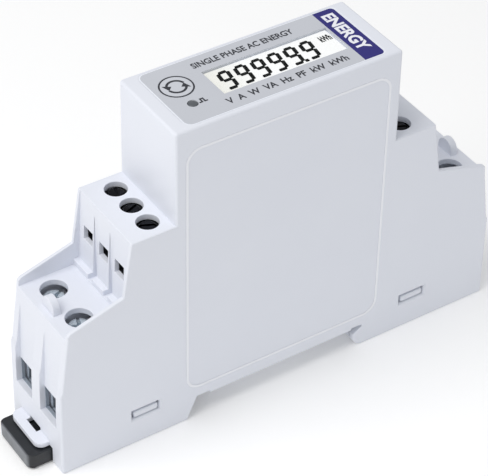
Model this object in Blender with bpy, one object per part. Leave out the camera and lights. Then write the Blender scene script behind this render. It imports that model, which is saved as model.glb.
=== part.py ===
"""One-module DIN-rail energy meter, modelled as its separate pieces.

Frame: the origin is the centre of the rail seat, where the top-hat rail's face touches the base.
+X runs along the meter towards its fixed hook, the sliding clip is at -X, Y is the module's width
and +Z points away from the rail towards the display.
"""
import math

import bmesh
import bpy
from mathutils import Matrix, Vector

MM = 0.001

# Driving dimensions of the enclosure
WIDTH = 17.5 * MM              # one module
LENGTH = 90.4 * MM             # over both end faces
TOP = 59.1 * MM                # rail seat to front face
BLOCK_HALF = 22.2 * MM         # half the length of the raised display block
STEP_TOP = 40.5 * MM           # upper face of the signal-terminal step
FLOOR_TOP = 25.1 * MM          # upper face of the power-terminal step
FOOT = -4.4 * MM               # underside of the feet
RAIL_HALF = 17.5 * MM          # half the width of the rail
SEAT_X = (-15.4 * MM, 15.0 * MM)   # the rail's face rests between the clip's nose and the hook
SEAT_RELIEF = 0.4 * MM         # how far the base stands back beside the seat
WALL = 1.2 * MM
GAP = 0.3 * MM                 # air between neighbouring pieces

# Power terminals
POWER_X = 38.3 * MM
POWER_Y = 4.25 * MM
ENTRY_Z = (5.1 * MM, 10.2 * MM)
CAGE_BOTTOM = 3.9 * MM
CAGE_TOP = 14.4 * MM
CAGE_LIP_TOP = 10.6 * MM       # upper end of the lip that reaches out to the wire entry
CAGE_LIFT = 5.2 * MM
BAR_Z = (10.6 * MM, 11.8 * MM)
SHELF_Z = (20.0 * MM, 20.9 * MM)
POWER_HEAD_RADIUS = 2.15 * MM
POWER_SHANK_RADIUS = 1.6 * MM

# Signal terminals, three to a side
SIGNAL_X = 25.4 * MM
SIGNAL_PITCH = 5.08 * MM
SIGNAL_ENTRY_Z = (31.3 * MM, 34.1 * MM)
SIGNAL_HEAD_RADIUS = 1.5 * MM
SIGNAL_SHANK_RADIUS = 0.9 * MM
BLOCK_FACE_X = 29.2 * MM       # outer face of a signal terminal block

# Front face: label, display opening, button and pulse lamp
LABEL_X = (-19.2 * MM, 19.3 * MM)
LABEL_Y = (-7.55 * MM, 7.95 * MM)
DISPLAY_X = (-9.9 * MM, 15.15 * MM)
DISPLAY_Y = (-3.6 * MM, 3.9 * MM)
BUTTON = (-15.2 * MM, 2.35 * MM)
BUTTON_RADIUS = 2.95 * MM
LAMP = (-15.35 * MM, -2.9 * MM)
LAMP_RADIUS = 0.85 * MM
PLATE_UNDERSIDE = TOP - 1.3 * MM
WINDOW_THICKNESS = 0.4 * MM

# Inside of the shell
SHELL_END = 42.5 * MM          # inner face of the end walls
ENTRY_BACK = 43.3 * MM         # inner face of the thin wall behind the wire entries
SHELL_STEP = 29.5 * MM         # inner face of the signal step's end
FINGER_FRONT = 30.6 * MM       # upper edge of the terminal fingers
STEP_HALF_WIDTH = 8.0 * MM     # between the side walls of a power step
TERMINAL_BAY = (34.6 * MM, 42.8 * MM)

# Wire entries of one end: the near one is the mirror image of the far one
ENTRY_Y = (1.4 * MM, 7.0 * MM)

# Sliding clip
CLIP_HALF = 5.0 * MM
CLIP_Z = (-4.1 * MM, -1.2 * MM)
CLIP_TRAVEL = 3.0 * MM
CLIP_PULL_END = -49.55 * MM    # end face that a screwdriver pulls
CLIP_NOSE = -15.8 * MM         # edge that reaches under the rail
CLIP_FLANGE_HALF = 6.2 * MM
CLIP_HEAD_X = -45.5 * MM       # inner face of the wider head outside the end wall
CLIP_HEAD_SIDE = 6.0 * MM      # how far the head reaches towards the far side
PEG_FACE = -29.3 * MM          # stop face of the base's peg

ROUND = 24                     # facets of a large round face
SMALL_ROUND = 16
BUTTON_ROUND = 32
PAST = 1 * MM                  # how far a cutter runs past the face it opens

COLOURS = {
    "white_plastic": ((0.80, 0.82, 0.86, 1), 0.42, 0.0),
    "base_plastic": ((0.74, 0.76, 0.80, 1), 0.5, 0.0),
    "black_plastic": ((0.03, 0.03, 0.035, 1), 0.45, 0.0),
    "label_film": ((0.50, 0.51, 0.57, 1), 0.5, 0.0),
    "clear_plastic": ((0.90, 0.93, 0.92, 1), 0.08, 0.0),
    "button_film": ((0.52, 0.53, 0.59, 1), 0.5, 0.0),
    "lamp_plastic": ((0.10, 0.11, 0.12, 1), 0.25, 0.0),
    "display_glass": ((0.72, 0.74, 0.70, 1), 0.1, 0.0),
    "diffuser": ((0.85, 0.86, 0.84, 1), 0.5, 0.0),
    "elastomer": ((0.08, 0.08, 0.09, 1), 0.8, 0.0),
    "circuit_board": ((0.02, 0.14, 0.06, 1), 0.45, 0.0),
    "chip_resin": ((0.02, 0.02, 0.022, 1), 0.55, 0.0),
    "capacitor_case": ((0.55, 0.38, 0.04, 1), 0.45, 0.0),
    "capacitor_sleeve": ((0.03, 0.04, 0.12, 1), 0.35, 0.0),
    "varistor_coat": ((0.02, 0.10, 0.28, 1), 0.5, 0.0),
    "zinc_steel": ((0.56, 0.60, 0.62, 1), 0.28, 1.0),
    "black_steel": ((0.04, 0.04, 0.045, 1), 0.35, 0.9),
    "copper": ((0.72, 0.36, 0.22, 1), 0.3, 1.0),
    "manganin": ((0.45, 0.36, 0.28, 1), 0.4, 1.0),
}


def millimetres(points):
    """Scale a list of coordinate tuples written in millimetres to metres."""
    return [tuple(value * MM for value in point) for point in points]


def make_material(name):
    colour, roughness, metallic = COLOURS[name]
    material = bpy.data.materials.new(name)
    material.use_nodes = True
    shader = material.node_tree.nodes["Principled BSDF"]
    shader.inputs["Base Color"].default_value = colour
    shader.inputs["Roughness"].default_value = roughness
    shader.inputs["Metallic"].default_value = metallic
    return material


def add_box(bm, x, y, z):
    """Add a box; x, y and z are (low, high) pairs."""
    low = Vector((x[0], y[0], z[0]))
    high = Vector((x[1], y[1], z[1]))
    placement = Matrix.LocRotScale((low + high) / 2, None, high - low)
    bmesh.ops.create_cube(bm, size=1.0, matrix=placement)


def add_cylinder(bm, centre, radius, z, segments=ROUND, top_radius=None):
    """Add an upright cylinder or cone over the height range z."""
    placement = Matrix.Translation((centre[0], centre[1], (z[0] + z[1]) / 2))
    bmesh.ops.create_cone(bm, cap_ends=True, cap_tris=False, segments=segments, radius1=radius,
                          radius2=radius if top_radius is None else top_radius,
                          depth=z[1] - z[0], matrix=placement)


def add_prism(bm, outline, span, axis):
    """Extrude a flat outline along an axis; the outline holds the other two coordinates in order."""
    place = {"x": lambda a, b: (span[0], a, b),
             "y": lambda a, b: (a, span[0], b),
             "z": lambda a, b: (a, b, span[0])}[axis]
    face = bm.faces.new([bm.verts.new(place(a, b)) for a, b in outline])
    grown = bmesh.ops.extrude_face_region(bm, geom=[face])["geom"]
    moved = [item for item in grown if isinstance(item, bmesh.types.BMVert)]
    step = Vector([span[1] - span[0] if axis == letter else 0.0 for letter in "xyz"])
    bmesh.ops.translate(bm, verts=moved, vec=step)


def arc(centre, radius, start, end, steps):
    """Points of an arc between two angles in degrees."""
    points = []
    for i in range(steps + 1):
        angle = math.radians(start + (end - start) * i / steps)
        points.append((centre[0] + radius * math.cos(angle), centre[1] + radius * math.sin(angle)))
    return points


def rounded_rectangle(x, y, left_radius, right_radius, steps=4):
    """Rectangle whose two left and two right corners have their own radii."""
    l, r = left_radius, right_radius
    return (arc((x[1] - r, y[0] + r), r, -90, 0, steps) + arc((x[1] - r, y[1] - r), r, 0, 90, steps)
            + arc((x[0] + l, y[1] - l), l, 90, 180, steps) + arc((x[0] + l, y[0] + l), l, 180, 270, steps))


def mirrored(span):
    return (-span[1], -span[0])


def both_ends(span):
    """The same X range at the +X end and at the -X end."""
    return span, mirrored(span)


def signal_rows():
    return [row * SIGNAL_PITCH for row in (-1, 0, 1)]


def mesh_object(name, bm):
    bmesh.ops.recalc_face_normals(bm, faces=bm.faces)
    mesh = bpy.data.meshes.new(name)
    bm.to_mesh(mesh)
    bm.free()
    obj = bpy.data.objects.new(name, mesh)
    bpy.context.scene.collection.objects.link(obj)
    return obj


def finish(obj, parent, material, location=(0, 0, 0), turn=0.0):
    """Give a piece its material, place and parent, and shade its round faces smooth."""
    obj.parent = parent
    obj.location = location
    obj.rotation_euler = (0, 0, turn)
    if not obj.data.materials:
        obj.data.materials.append(bpy.data.materials[material])
    obj.data.shade_smooth()
    obj.data.set_sharp_from_angle(angle=math.radians(35))
    return obj


def shape_with(obj, operation, fill, *values):
    """Cut or join a hidden helper solid, whose mesh fill(bm, *values) builds."""
    bm = bmesh.new()
    fill(bm, *values)
    helper = mesh_object(obj.name + "_" + fill.__name__, bm)
    helper.hide_render = True
    helper.display_type = "WIRE"
    helper.parent = obj
    modifier = obj.modifiers.new(fill.__name__, "BOOLEAN")
    modifier.operation = operation
    modifier.solver = "EXACT"
    modifier.object = helper


def solid(name, fill, *values):
    bm = bmesh.new()
    fill(bm, *values)
    return mesh_object(name, bm)


def settled_mesh(obj):
    """Replace a prototype by its finished mesh, for pieces that share one shape."""
    bpy.context.view_layer.update()
    graph = bpy.context.evaluated_depsgraph_get()
    mesh = bpy.data.meshes.new_from_object(obj.evaluated_get(graph))
    mesh.name = obj.name
    for modifier in obj.modifiers:
        bpy.data.objects.remove(modifier.object)
    bpy.data.objects.remove(obj)
    return mesh


def copy_of(mesh, name):
    obj = bpy.data.objects.new(name, mesh)
    bpy.context.scene.collection.objects.link(obj)
    return obj


# Front housing: side walls, end walls, both steps and the display block in one moulding

def side_profile():
    """Outline of the side walls, with the rail recess and the fixed hook on its lower edge."""
    rising_end = millimetres([(45.0, 9.6), (44.85, 13.3), (44.5, 14.2), (43.2, 23.9), (42.95, 26.2),
                              (42.3, 26.7), (32.3, 29.7)])
    right = ([(LENGTH / 2, FOOT)] + rising_end
             + [(FINGER_FRONT, STEP_TOP), (BLOCK_HALF, STEP_TOP), (BLOCK_HALF, TOP)])
    left = [(-x, z) for x, z in reversed(right)]
    return right + left + rail_recess()


def rail_recess():
    """Lower edge from the clip's foot to the hook, left to right: the seat is the stretch on z = 0."""
    seat = [(-RAIL_HALF - GAP, SEAT_RELIEF), (SEAT_X[0], SEAT_RELIEF), (SEAT_X[0], 0.0),
            (SEAT_X[1], 0.0), (SEAT_X[1], SEAT_RELIEF), (RAIL_HALF - 0.2 * MM, SEAT_RELIEF)]
    hook = millimetres([(17.3, -0.2), (15.4, -1.4), (15.5, -2.8), (16.4, -4.0)])
    return [(-20.0 * MM, FOOT)] + seat + hook + [(17.4 * MM, FOOT)]


def housing_body(bm):
    add_prism(bm, side_profile(), (-WIDTH / 2, WIDTH / 2), "y")


def cavity(bm):
    """Inside of the shell, open at the bottom for the base."""
    half = [(SHELL_END, FOOT - PAST), (SHELL_END, FLOOR_TOP - WALL), (SHELL_STEP, FLOOR_TOP - WALL),
            (SHELL_STEP, STEP_TOP - WALL), (BLOCK_HALF - WALL, STEP_TOP - WALL),
            (BLOCK_HALF - WALL, PLATE_UNDERSIDE)]
    outline = half + [(-x, z) for x, z in reversed(half)]
    add_prism(bm, outline, (WALL - WIDTH / 2, WIDTH / 2 - WALL), "y")


def step_pockets(bm):
    """Space above each power step, between the side walls, in front of the terminal fingers."""
    chin_top = FLOOR_TOP + 1.2 * MM
    chin_front = 32.4 * MM
    outer, upper = LENGTH / 2 + PAST, STEP_TOP + PAST
    outline = [(chin_front, FLOOR_TOP), (outer, FLOOR_TOP), (outer, upper), (FINGER_FRONT, upper),
               (FINGER_FRONT, STEP_TOP), (31.3 * MM, chin_top), (chin_front, chin_top)]
    for sign in (1, -1):
        add_prism(bm, [(sign * x, z) for x, z in outline], (-STEP_HALF_WIDTH, STEP_HALF_WIDTH), "y")


def finger_grooves(bm):
    """Grooves between the three terminal fingers, which stand out further towards the floor."""
    half_groove = 0.65 * MM
    for x in both_ends((FINGER_FRONT + 0.05 * MM, 33 * MM)):
        for y in (-SIGNAL_PITCH / 2, SIGNAL_PITCH / 2):
            add_box(bm, x, (y - half_groove, y + half_groove), (FLOOR_TOP + 0.2 * MM, 38.1 * MM))


def entry_channels(bm):
    """Shallow channels that guide a wire down the end face to its entry."""
    upper, deepest, outer = 23.2 * MM, 44.0 * MM, LENGTH / 2 + PAST
    outline = [(43.35 * MM, upper), (deepest, ENTRY_Z[1]), (deepest, ENTRY_Z[0]),
               (outer, ENTRY_Z[0]), (outer, upper)]
    for sign in (1, -1):
        for y in (ENTRY_Y, mirrored(ENTRY_Y)):
            add_prism(bm, [(sign * x, z) for x, z in outline], y, "y")


def lugs_and_tongue(bm):
    """An arched lug between each pair of power screws, and the tongue above the clip."""
    radius = 1.95 * MM
    arch = arc((0.0, 25.85 * MM), radius, 0, 180, 8)
    outline = [(-radius, FLOOR_TOP - 0.6 * MM), (radius, FLOOR_TOP - 0.6 * MM)] + arch
    for x in both_ends((40.4 * MM, 41.8 * MM)):
        add_prism(bm, outline, x, "x")
    tongue = rounded_rectangle((-47.5 * MM, -44.2 * MM), (-4.4 * MM, 5.5 * MM), 1.5 * MM, 0.3 * MM)
    add_prism(bm, tongue, (CLIP_Z[1] + GAP, 0.1 * MM), "z")


def screw_shelves(bm):
    """Shelves that the power screws' heads stand on."""
    for x in both_ends(TERMINAL_BAY):
        add_box(bm, x, (-7.8 * MM, 7.8 * MM), SHELF_Z)


def centre_walls(bm):
    """Insulating wall between the two power terminals at each end."""
    for x in both_ends(TERMINAL_BAY):
        add_box(bm, x, (-1.05 * MM, 1.05 * MM), (2.2 * MM, FLOOR_TOP - WALL / 2))


def wall_openings(bm):
    """Wire entries, snap windows and the clip's passage."""
    for x in both_ends((SHELL_END - PAST, LENGTH / 2 + PAST)):
        for y in (ENTRY_Y, mirrored(ENTRY_Y)):
            add_box(bm, x, y, ENTRY_Z)
    for x in both_ends((29 * MM, 33 * MM)):
        for row in signal_rows():
            add_box(bm, x, (row - 1.45 * MM, row + 1.45 * MM), SIGNAL_ENTRY_Z)
    for x in both_ends((25.7 * MM, 31.1 * MM)):
        for y in both_ends((7 * MM, 9.5 * MM)):
            add_box(bm, x, y, (1.3 * MM, 3.2 * MM))
    end_wall = (-LENGTH / 2 - PAST, WALL / 2 - SHELL_END)
    add_box(bm, end_wall, (-CLIP_HALF - GAP, CLIP_HALF + GAP), (FOOT - PAST, CLIP_Z[1] + GAP))


def lip_spaces(bm):
    """Room behind the wire entries, where the cages' lips rise and fall."""
    z = (CAGE_BOTTOM - GAP, CAGE_LIP_TOP + CAGE_LIFT + GAP)
    for x in both_ends((SHELL_END - PAST, ENTRY_BACK)):
        for y in both_ends((POWER_Y - 3.2 * MM, POWER_Y + 3.2 * MM)):
            add_box(bm, x, y, z)


def release_hole(bm):
    """Hole through the tongue's root, down to the clip."""
    add_box(bm, (-45.85 * MM, WALL / 2 - SHELL_END), (-1.1 * MM, 2.4 * MM), (-2.0 * MM, 0.55 * MM))


def screw_holes(bm):
    for x in (-POWER_X, POWER_X):
        for y in (-POWER_Y, POWER_Y):
            add_cylinder(bm, (x, y), 2.4 * MM, (23 * MM, 27 * MM))
            add_cylinder(bm, (x, y), POWER_SHANK_RADIUS + GAP, (19 * MM, 22 * MM), SMALL_ROUND)
    for x in (-SIGNAL_X, SIGNAL_X):
        for row in signal_rows():
            add_cylinder(bm, (x, row), 2.0 * MM, (38.5 * MM, 42 * MM))


def side_panels(bm):
    """Shallow panel on each side face."""
    outline = rounded_rectangle((-20.1 * MM, 20.1 * MM), (2.6 * MM, 54.9 * MM), 2.8 * MM, 2.8 * MM)
    for y in both_ends((WIDTH / 2 - 0.1 * MM, 10 * MM)):
        add_prism(bm, outline, y, "y")


def label_recess(bm):
    x = (LABEL_X[0] - GAP, LABEL_X[1] + GAP)
    y = (LABEL_Y[0] - GAP, LABEL_Y[1] + GAP)
    outline = rounded_rectangle(x, y, 1.6 * MM, 1.1 * MM)
    add_prism(bm, outline, (TOP - 0.6 * MM, TOP + 1 * MM), "z")


def front_openings(bm, z):
    """Display opening, button hole and lamp hole over the height range z."""
    add_box(bm, DISPLAY_X, DISPLAY_Y, z)
    add_cylinder(bm, BUTTON, BUTTON_RADIUS + GAP, z, BUTTON_ROUND)
    add_cylinder(bm, LAMP, LAMP_RADIUS + GAP, z, SMALL_ROUND)


def build_front_housing(parent):
    housing = solid("front_housing", housing_body)
    shape_with(housing, "DIFFERENCE", cavity)
    shape_with(housing, "DIFFERENCE", step_pockets)
    shape_with(housing, "DIFFERENCE", finger_grooves)
    shape_with(housing, "DIFFERENCE", entry_channels)
    shape_with(housing, "UNION", lugs_and_tongue)
    shape_with(housing, "UNION", screw_shelves)
    shape_with(housing, "UNION", centre_walls)
    shape_with(housing, "DIFFERENCE", wall_openings)
    shape_with(housing, "DIFFERENCE", lip_spaces)
    shape_with(housing, "DIFFERENCE", release_hole)
    shape_with(housing, "DIFFERENCE", screw_holes)
    shape_with(housing, "DIFFERENCE", side_panels)
    shape_with(housing, "DIFFERENCE", label_recess)
    shape_with(housing, "DIFFERENCE", front_openings, (PLATE_UNDERSIDE - 1 * MM, TOP + 1 * MM))
    finish(housing, parent, "white_plastic")


# Rear base: closes the shell from below, holds the clip and snaps into the side walls

BASE_HALF = 42.2 * MM
BASE_TOP = 1.6 * MM


def base_body(bm):
    outline = [(BASE_HALF, FOOT), (BASE_HALF, BASE_TOP), (-BASE_HALF, BASE_TOP), (-BASE_HALF, FOOT)]
    half_width = WIDTH / 2 - WALL - GAP
    add_prism(bm, outline + rail_recess(), (-half_width, half_width), "y")


def snap_tabs(bm):
    for x in both_ends((26.0 * MM, 30.8 * MM)):
        for y in both_ends((6.5 * MM, 8.6 * MM)):
            add_box(bm, x, y, (0.9 * MM, 2.9 * MM))


def snap_tab_ramps(bm):
    """Take the lower corner of each tab away, where it would miss its window."""
    for x in both_ends((25 * MM, 32 * MM)):
        for y in both_ends((WIDTH / 2 - WALL - GAP, 9 * MM)):
            add_box(bm, x, y, (0 * MM, 1.6 * MM))


def foot_pocket(bm):
    add_box(bm, (19.5 * MM, 40.5 * MM), (-6.0 * MM, 6.0 * MM), (-2.8 * MM, 3 * MM))


def clip_channel(bm):
    half = CLIP_HALF + GAP
    x = (-BASE_HALF - PAST, -12 * MM)
    add_box(bm, x, (-half, half), (FOOT - PAST, CLIP_Z[1] + GAP))


def guide_grooves(bm):
    """Grooves for the clip's side flanges."""
    for y in both_ends((CLIP_HALF - 0.4 * MM, CLIP_FLANGE_HALF + GAP)):
        add_box(bm, (-BASE_HALF - PAST, -15 * MM), y, (-3.4 * MM, -1.9 * MM))


def stop_peg(bm):
    add_box(bm, (-33.7 * MM, PEG_FACE), (-1.7 * MM, 1.7 * MM), (-3.9 * MM, 0.2 * MM))


def build_rear_base(parent):
    base = solid("rear_base", base_body)
    shape_with(base, "UNION", snap_tabs)
    shape_with(base, "DIFFERENCE", snap_tab_ramps)
    shape_with(base, "DIFFERENCE", foot_pocket)
    shape_with(base, "DIFFERENCE", clip_channel)
    shape_with(base, "DIFFERENCE", guide_grooves)
    shape_with(base, "UNION", stop_peg)
    finish(base, parent, "base_plastic")


# Rail clip: slides along X in the base and hooks under the rail

def clip_body(bm):
    outline = [(CLIP_PULL_END, CLIP_Z[0]), (CLIP_NOSE - 1.6 * MM, CLIP_Z[0]),
               (CLIP_NOSE, CLIP_Z[0] + 1.3 * MM), (CLIP_NOSE, CLIP_Z[1]), (CLIP_PULL_END, CLIP_Z[1])]
    add_prism(bm, outline, (-CLIP_HALF, CLIP_HALF), "y")


def clip_head(bm):
    add_box(bm, (CLIP_PULL_END, CLIP_HEAD_X), (CLIP_HALF - 1 * MM, CLIP_HEAD_SIDE), CLIP_Z)


def clip_flanges(bm):
    for y in both_ends((CLIP_HALF - 0.6 * MM, CLIP_FLANGE_HALF)):
        add_box(bm, (-38.5 * MM, -20.5 * MM), y, (-3.1 * MM, -2.2 * MM))


def clip_aperture(bm):
    """Window round the base's peg: its length sets the clip's travel."""
    x = (-34.0 * MM, PEG_FACE + GAP + CLIP_TRAVEL)
    add_box(bm, x, (-2.0 * MM, 2.0 * MM), (CLIP_Z[0] - PAST, CLIP_Z[1] + PAST))


def build_rail_clip(parent):
    clip = solid("rail_clip", clip_body)
    shape_with(clip, "UNION", clip_head)
    shape_with(clip, "UNION", clip_flanges)
    shape_with(clip, "DIFFERENCE", clip_aperture)
    finish(clip, parent, "black_plastic")


# Front face pieces

def label_sheet(bm):
    outline = rounded_rectangle(LABEL_X, LABEL_Y, 1.3 * MM, 0.8 * MM)
    add_prism(bm, outline, (TOP - 0.3 * MM, TOP), "z")


def window_plate(bm):
    x = (DISPLAY_X[0] + GAP, DISPLAY_X[1] - GAP)
    y = (DISPLAY_Y[0] + GAP, DISPLAY_Y[1] - GAP)
    add_box(bm, x, y, (TOP - WINDOW_THICKNESS, TOP))


def button_cap(bm):
    add_cylinder(bm, (0, 0), BUTTON_RADIUS, (56.5 * MM, TOP), BUTTON_ROUND)


def button_lugs(bm):
    """Bar under the front plate that keeps the button in."""
    add_box(bm, (-1.0 * MM, 1.0 * MM), (-3.6 * MM, 3.6 * MM), (56.7 * MM, PLATE_UNDERSIDE - GAP))


def button_stem(bm):
    """Stem that meets the push switch."""
    add_cylinder(bm, (0, 0), 1.2 * MM, (55.9 * MM, 57.0 * MM), SMALL_ROUND)


def lamp_rod(bm):
    add_cylinder(bm, LAMP, LAMP_RADIUS, (54.9 * MM, TOP), SMALL_ROUND)


def lamp_flange(bm):
    add_cylinder(bm, LAMP, 1.35 * MM, (56.6 * MM, PLATE_UNDERSIDE - GAP), SMALL_ROUND)


def build_front_pieces(parent):
    label = solid("label_overlay", label_sheet)
    shape_with(label, "DIFFERENCE", front_openings, (TOP - 2 * MM, TOP + 1 * MM))
    finish(label, parent, "label_film")
    finish(solid("display_window", window_plate), parent, "clear_plastic")
    button = solid("scroll_button", button_cap)
    shape_with(button, "UNION", button_lugs)
    shape_with(button, "UNION", button_stem)
    finish(button, parent, "button_film", (*BUTTON, 0))
    pipe = solid("pulse_light_pipe", lamp_rod)
    shape_with(pipe, "UNION", lamp_flange)
    finish(pipe, parent, "lamp_plastic")


# Display stack on its own board

def block(name, x, y, z, parent, material):
    """A plain rectangular piece with its ranges in millimetres."""
    spans = [(low * MM, high * MM) for low, high in (x, y, z)]
    return finish(solid(name, add_box, *spans), parent, material)


def frame_shell(bm):
    add_box(bm, (-11.9 * MM, 17.1 * MM), (-7.0 * MM, 7.0 * MM), (53.1 * MM, 57.5 * MM))


def frame_inside(bm):
    add_box(bm, (-11.2 * MM, 16.4 * MM), (-6.5 * MM, 6.5 * MM), (52 * MM, 56.9 * MM))


def frame_aperture(bm):
    add_box(bm, (-10.2 * MM, 15.45 * MM), (-3.9 * MM, 4.2 * MM), (56 * MM, 58 * MM))


def upper_glass(bm):
    """Smaller upper plate of the display, which stands up into the front plate's opening."""
    add_box(bm, (DISPLAY_X[0] + GAP, DISPLAY_X[1] - GAP), (DISPLAY_Y[0] + GAP, DISPLAY_Y[1] - GAP),
            (56.4 * MM, TOP - WINDOW_THICKNESS - GAP))


def switch_well(bm):
    add_cylinder(bm, BUTTON, 1.2 * MM, (53.4 * MM, 56 * MM), SMALL_ROUND)


def plunger_rod(bm):
    add_cylinder(bm, (0, 0), 0.9 * MM, (54.1 * MM, 55.6 * MM), SMALL_ROUND)


def led_body(bm):
    add_cylinder(bm, LAMP, 0.9 * MM, (53.1 * MM, 54.6 * MM), SMALL_ROUND, 0.6 * MM)


def build_display(parent):
    block("display_board", (-20.4, 20.4), (-7.2, 7.2), (51.2, 52.8), parent, "circuit_board")
    block("lcd_backlight", (-10.9, 16.1), (-4.7, 4.7), (53.1, 54.6), parent, "diffuser")
    block("zebra_strip_near", (-10.4, 15.6), (-6.2, -5.0), (53.1, 54.6), parent, "elastomer")
    block("zebra_strip_far", (-10.4, 15.6), (5.0, 6.2), (53.1, 54.6), parent, "elastomer")
    glass = block("lcd_glass", (-10.9, 16.1), (-6.2, 6.2), (54.9, 56.6), parent, "display_glass")
    shape_with(glass, "UNION", upper_glass)
    frame = solid("lcd_frame", frame_shell)
    shape_with(frame, "DIFFERENCE", frame_inside)
    shape_with(frame, "DIFFERENCE", frame_aperture)
    finish(frame, parent, "black_plastic")
    x = (BUTTON[0] / MM - 2.3, BUTTON[0] / MM + 2.3)
    y = (BUTTON[1] / MM - 2.3, BUTTON[1] / MM + 2.3)
    switch = block("tact_switch_body", x, y, (53.1, 54.9), parent, "chip_resin")
    shape_with(switch, "DIFFERENCE", switch_well)
    finish(solid("tact_switch_plunger", plunger_rod), parent, "black_plastic", (*BUTTON, 0))
    finish(solid("pulse_led", led_body), parent, "diffuser")


# Main board and its parts, upright on the centre plane

def chip_legs(bm, x, y, z, count):
    """Bent-flat legs on both sides of a chip that lies on the board's face."""
    pitch = (x[1] - x[0]) / count
    for i in range(count):
        centre = x[0] + (i + 0.5) * pitch
        leg = (centre - pitch / 4, centre + pitch / 4)
        add_box(bm, leg, y, (z[0] - 0.8 * MM, z[0] + 0.3 * MM))
        add_box(bm, leg, y, (z[1] - 0.3 * MM, z[1] + 0.8 * MM))


def build_chip(name, x, z, thickness, legs, parent):
    """Chip on the -Y face of the main board; x, z and thickness in millimetres."""
    chip = block(name, x, (-1.1 - thickness, -1.1), z, parent, "chip_resin")
    spans = [(low * MM, high * MM) for low, high in (x, (-1.7, -1.3), z)]
    shape_with(chip, "UNION", chip_legs, *spans, legs)


def lying_cylinder(bm, x, y, z, radius, length, axis):
    """Cylinder along X or Y with one end at the given point."""
    turn = Matrix.Rotation(math.radians(90), 4, "Y" if axis == "x" else "X")
    shift = Vector((length / 2, 0, 0)) if axis == "x" else Vector((0, length / 2, 0))
    placement = Matrix.Translation(Vector((x, y, z)) + shift) @ turn
    bmesh.ops.create_cone(bm, cap_ends=True, cap_tris=False, segments=ROUND, radius1=radius,
                          radius2=radius, depth=length, matrix=placement)


def build_main_board(parent):
    block("main_board", (-20.5, 20.5), (-0.8, 0.8), (3.0, 47.0), parent, "circuit_board")
    block("board_header", (-9.0, 9.0), (1.1, 3.6), (42.5, 50.9), parent, "black_plastic")
    build_chip("metering_chip", (-14.0, -7.0), (20.0, 25.0), 1.6, 5, parent)
    build_chip("microcontroller", (-3.0, 6.0), (28.0, 36.0), 1.5, 6, parent)
    build_chip("optocoupler_left", (-18.5, -14.0), (33.0, 37.5), 2.4, 2, parent)
    build_chip("optocoupler_right", (13.0, 17.5), (33.0, 37.5), 2.4, 2, parent)
    block("crystal_can", (9.0, 13.0), (-3.6, -1.1), (20.0, 30.0), parent, "zinc_steel")
    block("film_capacitor", (-18.0, -5.0), (1.1, 7.0), (16.0, 27.0), parent, "capacitor_case")
    sleeve = (-2.0 * MM, 4.2 * MM, 22.0 * MM, 3.0 * MM, 12.0 * MM, "x")
    finish(solid("electrolytic_capacitor", lying_cylinder, *sleeve), parent, "capacitor_sleeve")
    disc = (-11.0 * MM, 1.4 * MM, 34.0 * MM, 5.0 * MM, 3.6 * MM, "y")
    finish(solid("varistor", lying_cylinder, *disc), parent, "varistor_coat")


# Power path: bars through the cages, with the shunt in the line side

def build_bars(parent):
    bar_z = (BAR_Z[0] / MM, BAR_Z[1] / MM)
    block("neutral_bar", (-41.8, 41.8), (2.35, 6.15), bar_z, parent, "copper")
    block("line_bar_left", (-41.8, -5.3), (-6.15, -2.35), bar_z, parent, "copper")
    block("line_bar_right", (5.3, 41.8), (-6.15, -2.35), bar_z, parent, "copper")
    block("shunt_resistor", (-5.0, 5.0), (-6.15, -2.35), bar_z, parent, "manganin")


# Power terminals: a captive screw lifts each cage

def cage_band(bm):
    add_box(bm, (-3.3 * MM, 3.8 * MM), (-2.9 * MM, 2.9 * MM), (CAGE_BOTTOM, CAGE_TOP))


def cage_lip(bm):
    add_box(bm, (3.7 * MM, 4.7 * MM), (-2.9 * MM, 2.9 * MM), (CAGE_BOTTOM, CAGE_LIP_TOP))


def cage_tunnel(bm):
    add_box(bm, (-5 * MM, 5 * MM), (-2.2 * MM, 2.2 * MM),
            (CAGE_BOTTOM + 1.0 * MM, CAGE_TOP - 1.6 * MM))


def cage_thread(bm):
    add_cylinder(bm, (0, 0), POWER_SHANK_RADIUS + GAP, (12 * MM, 16 * MM), SMALL_ROUND)


def screw_body(bm, head_radius, head_height, shank_radius, shank_length):
    """Turned profile: the head stands on z = 0 and the shank hangs below it."""
    chamfer = 0.25 * MM
    profile = [(0, head_height), (head_radius - chamfer, head_height),
               (head_radius, head_height - chamfer), (head_radius, 0), (shank_radius, 0),
               (shank_radius, -shank_length), (0, -shank_length)]
    verts = [bm.verts.new((radius, 0, z)) for radius, z in profile]
    edges = [bm.edges.new(pair) for pair in zip(verts, verts[1:])]
    bmesh.ops.spin(bm, geom=verts + edges, cent=(0, 0, 0), axis=(0, 0, 1), steps=20,
                   angle=math.radians(360), use_merge=True)
    bmesh.ops.remove_doubles(bm, verts=bm.verts, dist=0.00001)


def cross_recess(bm, half_length, half_width, z):
    a, b = half_width, half_length
    quarter = [(a, a), (a, b), (-a, b), (-a, a), (-b, a), (-b, -a), (-a, -a), (-a, -b), (a, -b),
               (a, -a), (b, -a), (b, a)]
    add_prism(bm, quarter, z, "z")


def slot_recess(bm, half_length, half_width, z):
    add_box(bm, (-half_length, half_length), (-half_width, half_width), z)


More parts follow.
